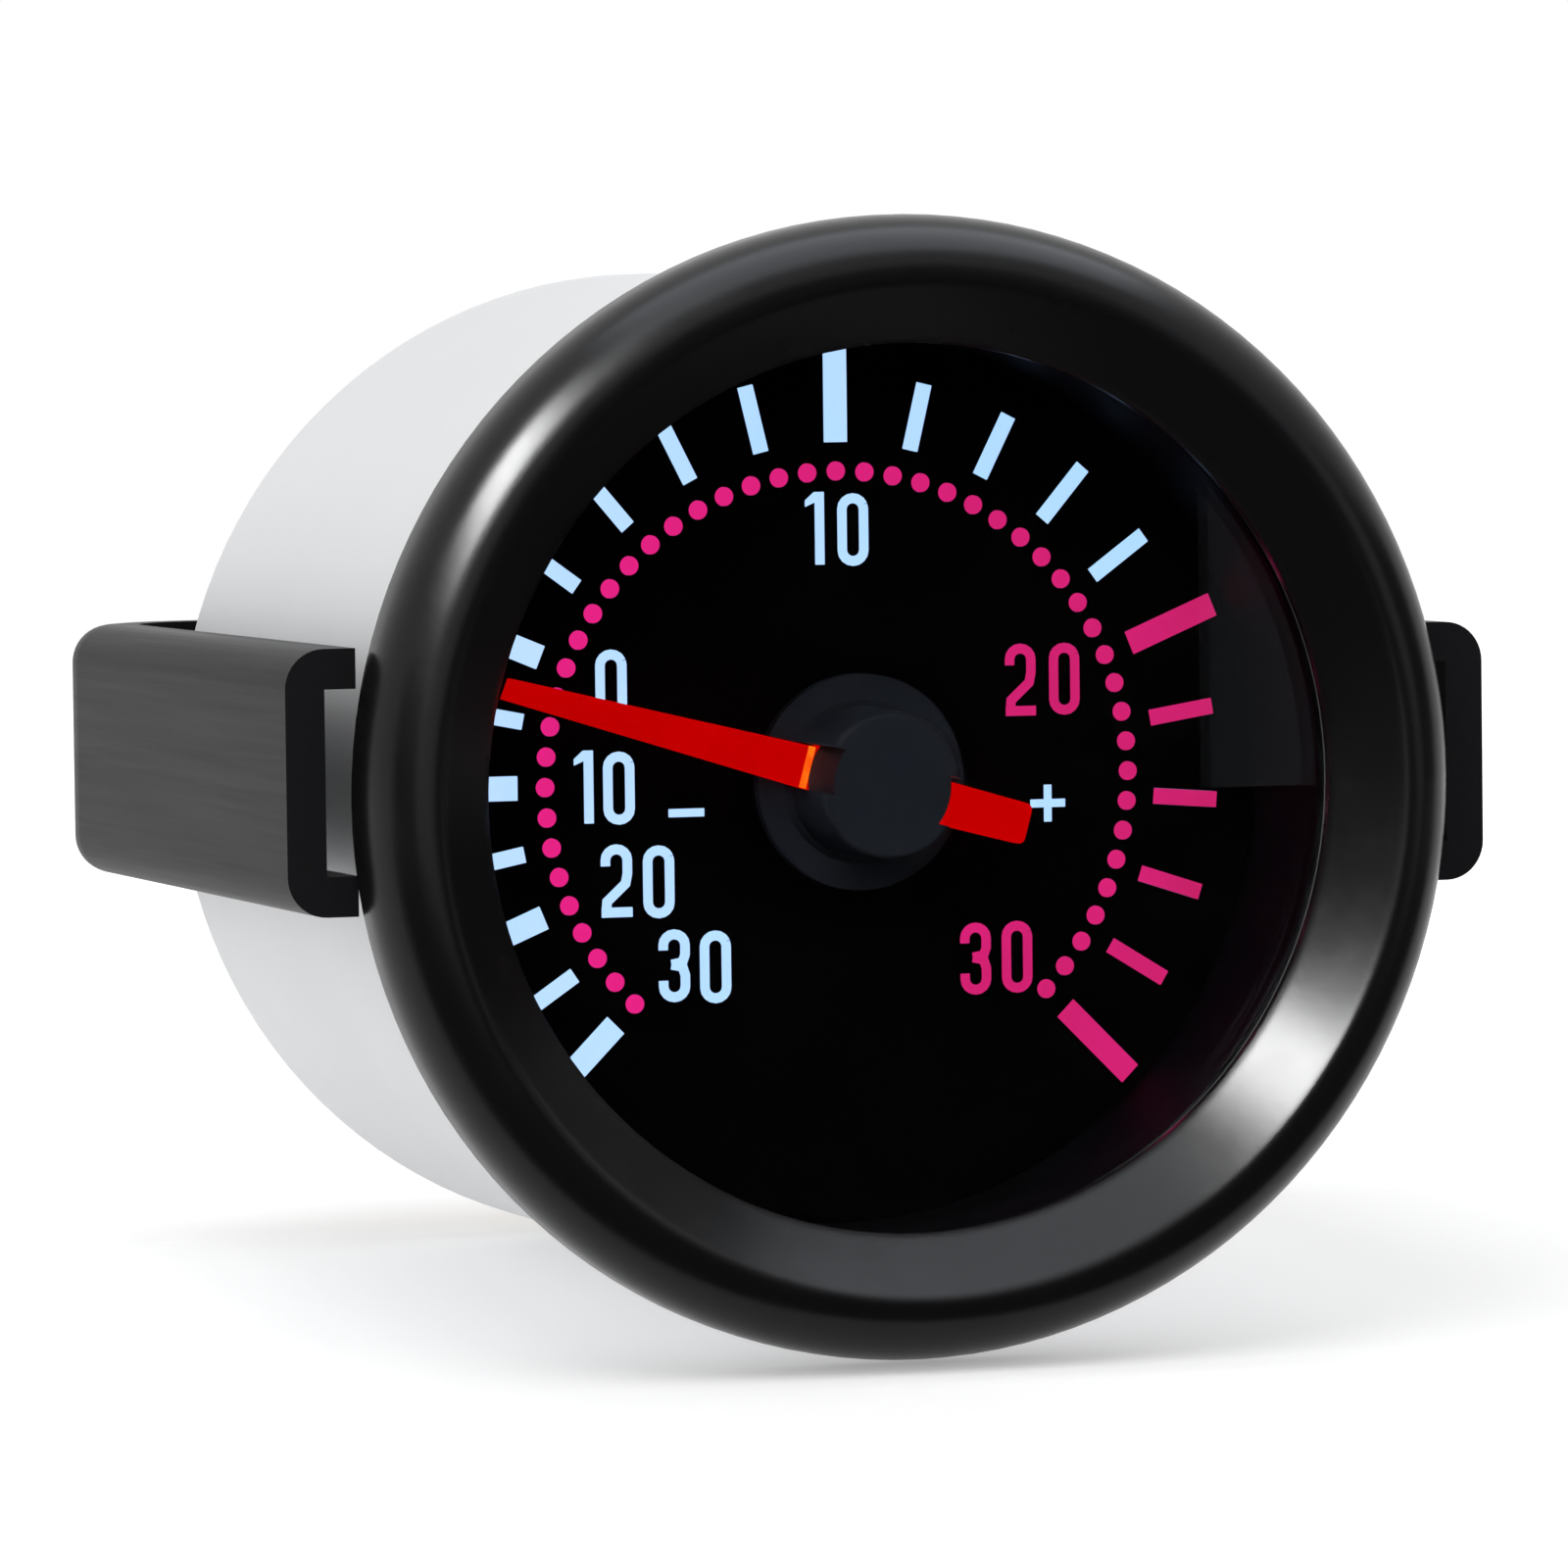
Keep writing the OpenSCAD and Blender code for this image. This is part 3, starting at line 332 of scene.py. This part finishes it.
dialPrint = {
    "faceY": 9.5, "proud": 0.03, "depth": 0.25,          # mm, the dial's face, and how far in front and into it
    "scaleStart": 225.0, "dotStep": 5.625, "dotCount": 49, "dotRing": 15.7, "dotRadius": 0.5, "dotSides": 28,
    "zeroAngle": 157.5, "boostStep": 13.5, "vacuumStep": 11.25,
    "boostBars": 16, "boostLongEvery": 5, "vacuumBars": 6, "vacuumWideEvery": 2,
    "barInner": 17.15, "minorLength": 3.5, "majorLength": 5.0, "minorWidth": 0.85, "majorWidth": 1.27,
    "redlineAngle": 23.0, "inside": 0.02,                # mm, how far the print stays inside the dial's openings
}


def newSheet():
    # gathers flat prisms of one colour into one mesh
    return {"vertices": [], "faces": []}


def addPrism(sheet, outline):
    front = (dialPrint["faceY"] - dialPrint["proud"]) * mm
    back = (dialPrint["faceY"] + dialPrint["depth"]) * mm
    first = len(sheet["vertices"])
    count = len(outline)
    sheet["vertices"] += [(x * mm, front, z * mm) for x, z in outline]
    sheet["vertices"] += [(x * mm, back, z * mm) for x, z in outline]
    sheet["faces"].append([first + i for i in range(count)])
    sheet["faces"].append([first + count + i for i in reversed(range(count))])
    for i in range(count):
        j = (i + 1) % count
        sheet["faces"].append([first + i, first + count + i, first + count + j, first + j])


def turned(points, degrees, origin=(0, 0)):
    c, s = math.cos(math.radians(degrees)), math.sin(math.radians(degrees))
    return [(origin[0] + x * c - z * s, origin[1] + x * s + z * c) for x, z in points]


def barOutline(angle, width, length):
    spec = dialPrint
    inner, outer = spec["barInner"] + spec["inside"], spec["barInner"] + length - spec["inside"]
    half = width / 2 - spec["inside"]
    return turned([(inner, -half), (outer, -half), (outer, half), (inner, half)], angle)


def printScale(pale, pink):
    spec = dialPrint
    for i in range(spec["dotCount"]):
        angle = math.radians(spec["scaleStart"] - i * spec["dotStep"])
        centre = (spec["dotRing"] * math.cos(angle), spec["dotRing"] * math.sin(angle))
        sides = spec["dotSides"]
        radius = spec["dotRadius"] - spec["inside"]
        addPrism(pink, [(centre[0] + radius * math.cos(2 * math.pi * k / sides),
                         centre[1] + radius * math.sin(2 * math.pi * k / sides)) for k in range(sides)])
    for i in range(spec["boostBars"]):
        angle = spec["zeroAngle"] - i * spec["boostStep"]
        major = i % spec["boostLongEvery"] == 0
        sheet = pink if angle < spec["redlineAngle"] else pale
        addPrism(sheet, barOutline(angle, spec["majorWidth"] if major else spec["minorWidth"],
                                   spec["majorLength"] if major else spec["minorLength"]))
    for i in range(1, spec["vacuumBars"] + 1):
        angle = spec["zeroAngle"] + i * spec["vacuumStep"]
        width = spec["majorWidth"] if i % spec["vacuumWideEvery"] == 0 else spec["minorWidth"]
        length = spec["majorLength"] if i == spec["vacuumBars"] else spec["minorLength"]
        addPrism(pale, barOutline(angle, width, length))


paleSheet, pinkSheet = newSheet(), newSheet()
printScale(paleSheet, pinkSheet)

digitShape = {
    "height": 3.7, "width": 1.66, "stroke": 0.5, "bowShare": 0.95, "bowSteps": 8, "mitreLimit": 0.35,    # mm and shares
}


def strokePath(points, stroke):
    # a run of four-sided outlines along a path, with mitred joints
    left, right = [], []
    for k, point in enumerate(points):
        before = points[max(k - 1, 0)]
        after = points[min(k + 1, len(points) - 1)]
        d1 = (point[0] - before[0], point[1] - before[1]) if k > 0 else (after[0] - point[0], after[1] - point[1])
        d2 = (after[0] - point[0], after[1] - point[1]) if k < len(points) - 1 else d1
        n1, n2 = math.hypot(*d1), math.hypot(*d2)
        d1, d2 = (d1[0] / n1, d1[1] / n1), (d2[0] / n2, d2[1] / n2)
        nx, nz = -(d1[1] + d2[1]), d1[0] + d2[0]
        size = math.hypot(nx, nz) or 1.0
        nx, nz = nx / size, nz / size
        grow = stroke / 2 / max(digitShape["mitreLimit"], nx * -d1[1] + nz * d1[0])
        left.append((point[0] + nx * grow, point[1] + nz * grow))
        right.append((point[0] - nx * grow, point[1] - nz * grow))
    return [[right[k], right[k + 1], left[k + 1], left[k]] for k in range(len(points) - 1)]


def bowPoints(height, radiusX, radiusZ, start, end):
    # points along a bow of a figure, around a middle at the given height
    steps = digitShape["bowSteps"]
    angles = [math.radians(start + (end - start) * k / steps) for k in range(steps + 1)]
    return [(radiusX * math.cos(angle), height + radiusZ * math.sin(angle)) for angle in angles]


def digitOutlines(digit):
    # narrow bold figures, centred on the origin, with their corners in mm
    h, w, s = digitShape["height"] / 2, digitShape["width"] / 2, digitShape["stroke"]
    x, z = w - s / 2, h - s / 2
    bow = x * digitShape["bowShare"]
    topBow = bowPoints(z - bow, x, bow, 180, 0)
    if digit == "0":
        ring = bowPoints(z - bow, x, bow, 0, 180) + bowPoints(-z + bow, x, bow, 180, 360)
        return strokePath(ring + ring[:2], s)[1:]
    if digit == "1":
        stem = [(0.02, -h), (0.02 + s, -h), (0.02 + s, h), (0.02, h)]
        flag = [(-0.5, z - 0.5), (0.02, z - 0.28), (0.02, h), (-0.02, h), (-0.5, h - 0.42)]
        return [stem, flag]
    if digit == "2":
        start = [(-x, z - bow - 0.3)]
        slant = [(x, 0.35), (x * 0.82, -0.15), (-x + 0.06, -z + 0.55), (-x + 0.02, -z)]
        foot = [(-w + 0.02, -h), (w, -h), (w, -h + s), (-w + 0.02, -h + s)]
        return strokePath(start + topBow + slant, s) + [foot]
    upper = [(-x, z - bow - 0.25)] + topBow + [(x, 0.55), (x * 0.75, 0.16), (-x * 0.25, 0.06)]
    lower = ([(-x * 0.25, 0.06), (x * 0.75, -0.06), (x, -0.5)] + bowPoints(-z + bow, x, bow, 0, -180)
             + [(-x, -z + bow + 0.3)])
    return strokePath(upper, s) + strokePath(lower, s)


numberPlaces = [
    # digits, centre of each digit across and up in mm, and the colour of its light
    ("1", -1.19, 12.8, "pale"), ("0", 0.87, 12.7, "pale"), ("0", -12.15, 5.04, "pale"),
    ("1", -13.68, -0.03, "pale"), ("0", -11.81, -0.13, "pale"),
    ("2", -12.0, -4.82, "pale"), ("0", -9.76, -4.94, "pale"),
    ("3", -8.99, -9.23, "pale"), ("0", -6.79, -9.36, "pale"),
    ("2", 9.86, 4.83, "pink"), ("0", 12.26, 4.82, "pink"),
    ("3", 7.25, -9.42, "pink"), ("0", 9.51, -9.4, "pink"),
]
for digit, across, up, light in numberPlaces:
    sheet = paleSheet if light == "pale" else pinkSheet
    for outline in digitOutlines(digit):
        addPrism(sheet, [(across + x, up + z) for x, z in outline])

signMarks = {"minus": (-8.24, -1.48), "plus": (11.28, -1.55), "reach": 0.95, "stroke": 0.42}     # mm


def printSigns():
    # a minus at the vacuum side and a plus at the boost side, bar by bar
    reach, half = signMarks["reach"], signMarks["stroke"] / 2
    arm = (reach - half) / 2
    (minusX, minusZ), (plusX, plusZ) = signMarks["minus"], signMarks["plus"]
    bars = [
        # middle across and up, half the width and half the height
        (minusX, minusZ, reach, half), (plusX, plusZ, reach, half),
        (plusX, plusZ + half + arm, half, arm), (plusX, plusZ - half - arm, half, arm),
    ]
    for x, z, wide, high in bars:
        addPrism(paleSheet, [(x - wide, z - high), (x + wide, z - high), (x + wide, z + high), (x - wide, z + high)])


printSigns()
paleMarks = meshPiece("pale_marks", paleSheet["vertices"], paleSheet["faces"], litMade["paleLit"], "base")
pinkMarks = meshPiece("pink_marks", pinkSheet["vertices"], pinkSheet["faces"], litMade["pinkLit"], "base")
print("dial print made")

hotSpot = {
    # mm and degrees, the bright root of the blade, seen beside the cap
    "radius": 3.28, "length": 0.36, "width": 2.15, "frontY": 5.3, "proud": 0.04, "restAngle": 164.6,
}


def makeHotSpot():
    spec = hotSpot
    inner, outer = spec["radius"] - spec["length"] / 2, spec["radius"] + spec["length"] / 2
    reach = spec["width"] / 2
    flat = turned([(inner, -reach), (outer, -reach), (outer, reach), (inner, reach)], spec["restAngle"])
    front, back = (spec["frontY"] - spec["proud"]) * mm, (spec["frontY"] + spec["proud"]) * mm
    vertices = [(x * mm, front, z * mm) for x, z in flat] + [(x * mm, back, z * mm) for x, z in flat]
    faces = [(0, 1, 2, 3), (7, 6, 5, 4)] + [(i, 4 + i, 4 + (i + 1) % 4, (i + 1) % 4) for i in range(4)]
    meshPiece("pointer_light", vertices, faces, litMade["orangeLit"], "pointer")


makeHotSpot()

studio = {
    "bezelBottom": 28.6, "caseBottom": 26.0, "caseEndY": 42.3, "gap": 0.15,      # mm, what the gauge lies on
    "floorSize": 6.0, "bendAt": 0.045, "fallShare": 1.5,                         # metres, and share of the slope
    "paper": (0.86, 0.86, 0.865, 1), "paperRoughness": 0.9, "paperGlow": (0.3, 0.5), "glowReach": (0.1, 0.35),
    "room": (1, 1, 1, 1), "roomLight": 0.82,
}
floorSlope = math.atan2(studio["bezelBottom"] - studio["caseBottom"], studio["caseEndY"])


def makeFloor():
    # the gauge lies on the rim of its bezel and on the back edge of its barrel, and the floor falls away behind
    spec = studio
    size, bend = spec["floorSize"], spec["bendAt"]
    drop = (size - bend) * math.tan(floorSlope) * spec["fallShare"]
    corners = [(-size, -size, 0), (size, -size, 0), (size, bend, 0), (-size, bend, 0), (size, size, -drop),
               (-size, size, -drop)]
    mesh = bpy.data.meshes.new("floor")
    mesh.from_pydata(corners, [], [(0, 1, 2, 3), (3, 2, 4, 5)])
    floor = bpy.data.objects.new("floor", mesh)
    floor.rotation_euler = (floorSlope, 0, 0)
    floor.location = (0, 0, -(spec["bezelBottom"] + spec["gap"]) * mm)
    scene.collection.objects.link(floor)
    material, tree, shader = newMaterial("palePaper")
    setInputs(shader, Roughness=spec["paperRoughness"])
    shader.inputs["Base Color"].default_value = spec["paper"]
    shader.inputs["Specular IOR Level"].default_value = 0.0
    shader.inputs["Emission Color"].default_value = spec["room"]
    coords = place(tree, "ShaderNodeTexCoord")
    away = place(tree, "ShaderNodeVectorMath", operation="LENGTH")
    glow = place(tree, "ShaderNodeMapRange")
    setInputs(glow, From_Min=spec["glowReach"][0], From_Max=spec["glowReach"][1],
              To_Min=spec["paperGlow"][0], To_Max=spec["paperGlow"][1])
    tree.links.new(coords.outputs["Object"], away.inputs[0])
    tree.links.new(away.outputs["Value"], glow.inputs["Value"])
    tree.links.new(glow.outputs["Result"], shader.inputs["Emission Strength"])
    mesh.materials.append(material)


def makeWorld():
    # white for what is seen, mirrored or seen through glass, and a softer level for what it lights
    world = bpy.data.worlds.new("studioRoom")
    scene.world = world
    world.use_nodes = True
    tree = world.node_tree
    background = tree.nodes["Background"]
    background.inputs["Color"].default_value = studio["room"]
    path = place(tree, "ShaderNodeLightPath")
    seen = place(tree, "ShaderNodeMath", operation="ADD")
    seenAll = place(tree, "ShaderNodeMath", operation="ADD", use_clamp=True)
    level = place(tree, "ShaderNodeMapRange")
    setInputs(level, To_Min=studio["roomLight"], To_Max=1.0)
    tree.links.new(path.outputs["Is Camera Ray"], seen.inputs[0])
    tree.links.new(path.outputs["Is Glossy Ray"], seen.inputs[1])
    tree.links.new(seen.outputs["Value"], seenAll.inputs[0])
    tree.links.new(path.outputs["Is Transmission Ray"], seenAll.inputs[1])
    tree.links.new(seenAll.outputs["Value"], level.inputs["Value"])
    tree.links.new(level.outputs["Result"], background.inputs["Strength"])


cardColour = (0.88, 0.93, 1.0, 1)
cards = [
    # name, middle in mm, size across and up in mm, which way the card faces, and its glow at the left and right
    # edges where it isn't a black one
    {"name": "frontCard", "middle": (32, -150, 27), "size": (84, 126), "facing": "back"},
    {"name": "lowerCard", "middle": (102, -150, -22.35), "size": (56, 27.3), "facing": "back"},
    {"name": "sideCard", "middle": (102, -150, 40.65), "size": (56, 98.7), "facing": "back", "glow": (0.25, 1.2)},
    {"name": "leftCard", "middle": (-332, -173, -20), "size": (300, 260), "facing": "gauge"},
    {"name": "rightCard", "middle": (384, -150, 0), "size": (300, 260), "facing": "gauge"},
    {"name": "floorCard", "middle": (0, -127.5, -36.0), "size": (520, 240), "facing": "floor"},
    {"name": "topCard", "middle": (110, -20, 420), "size": (560, 420), "facing": "down", "glow": (4.0, 4.0)},
]


def makeCard(name, corners, glow):
    mesh = bpy.data.meshes.new(name)
    mesh.from_pydata([tuple(corner) for corner in corners], [], [(0, 1, 2, 3)])
    card = bpy.data.objects.new(name, mesh)
    card.visible_camera = False
    card.visible_diffuse = False
    card.visible_shadow = False
    scene.collection.objects.link(card)
    material, tree, shader = newMaterial(name)
    shader.inputs["Base Color"].default_value = (0, 0, 0, 1)
    shader.inputs["Specular IOR Level"].default_value = 0.0
    shader.inputs["Emission Color"].default_value = cardColour
    coords = place(tree, "ShaderNodeTexCoord")
    axes = place(tree, "ShaderNodeSeparateXYZ")
    fade = place(tree, "ShaderNodeMapRange")
    setInputs(fade, From_Min=corners[0][0], From_Max=corners[1][0], To_Min=glow[0], To_Max=glow[1])
    tree.links.new(coords.outputs["Object"], axes.inputs["Vector"])
    tree.links.new(axes.outputs["X"], fade.inputs["Value"])
    tree.links.new(fade.outputs["Result"], shader.inputs["Emission Strength"])
    mesh.materials.append(material)


def makeCards():
    # cards around the camera that only the shiny surfaces mirror
    for spec in cards:
        middle = Vector(spec["middle"]) * mm
        sideways, upwards = Vector((1, 0, 0)), Vector((0, 0, 1))
        if spec["facing"] == "gauge":
            sideways = upwards.cross(middle).normalized()
        if spec["facing"] == "floor":
            upwards = Vector((0, math.cos(floorSlope), math.sin(floorSlope)))
        if spec["facing"] == "down":
            upwards = Vector((0, 1, 0))
        across, up = sideways * (spec["size"][0] / 2 * mm), upwards * (spec["size"][1] / 2 * mm)
        corners = [middle - across - up, middle + across - up, middle + across + up, middle - across + up]
        makeCard(spec["name"], corners, spec.get("glow", (0.0, 0.0)))


makeFloor()
makeWorld()
makeCards()

lamps = [
    # name, direction from the gauge, distance and size in metres, power in watts, and whether it only shines on gloss
    {"name": "keyLamp", "towards": (-0.34, -0.38, 0.86), "distance": 0.9, "size": (0.5, 0.5), "power": 1.85,
     "gloss": False},
    {"name": "glossLamp", "towards": (-0.6, -0.47, 0.65), "distance": 0.8, "size": (0.2, 0.6), "power": 32.0,
     "gloss": True},
]


def makeLamps():
    for spec in lamps:
        data = bpy.data.lights.new(spec["name"], "AREA")
        data.shape = "RECTANGLE"
        data.size, data.size_y = spec["size"]
        data.energy = spec["power"]
        lamp = bpy.data.objects.new(spec["name"], data)
        away = Vector(spec["towards"]).normalized()
        along = Vector((0, 1, 0)).cross(away).normalized()
        turn = Matrix((along, away.cross(along), away)).transposed().to_4x4()
        lamp.matrix_world = Matrix.Translation(away * spec["distance"]) @ turn
        lamp.visible_diffuse = not spec["gloss"]
        lamp.visible_glossy = spec["gloss"]
        lamp.visible_transmission = not spec["gloss"]
        scene.collection.objects.link(lamp)


makeLamps()
scene.view_settings.view_transform = "Standard"
print("studio made")
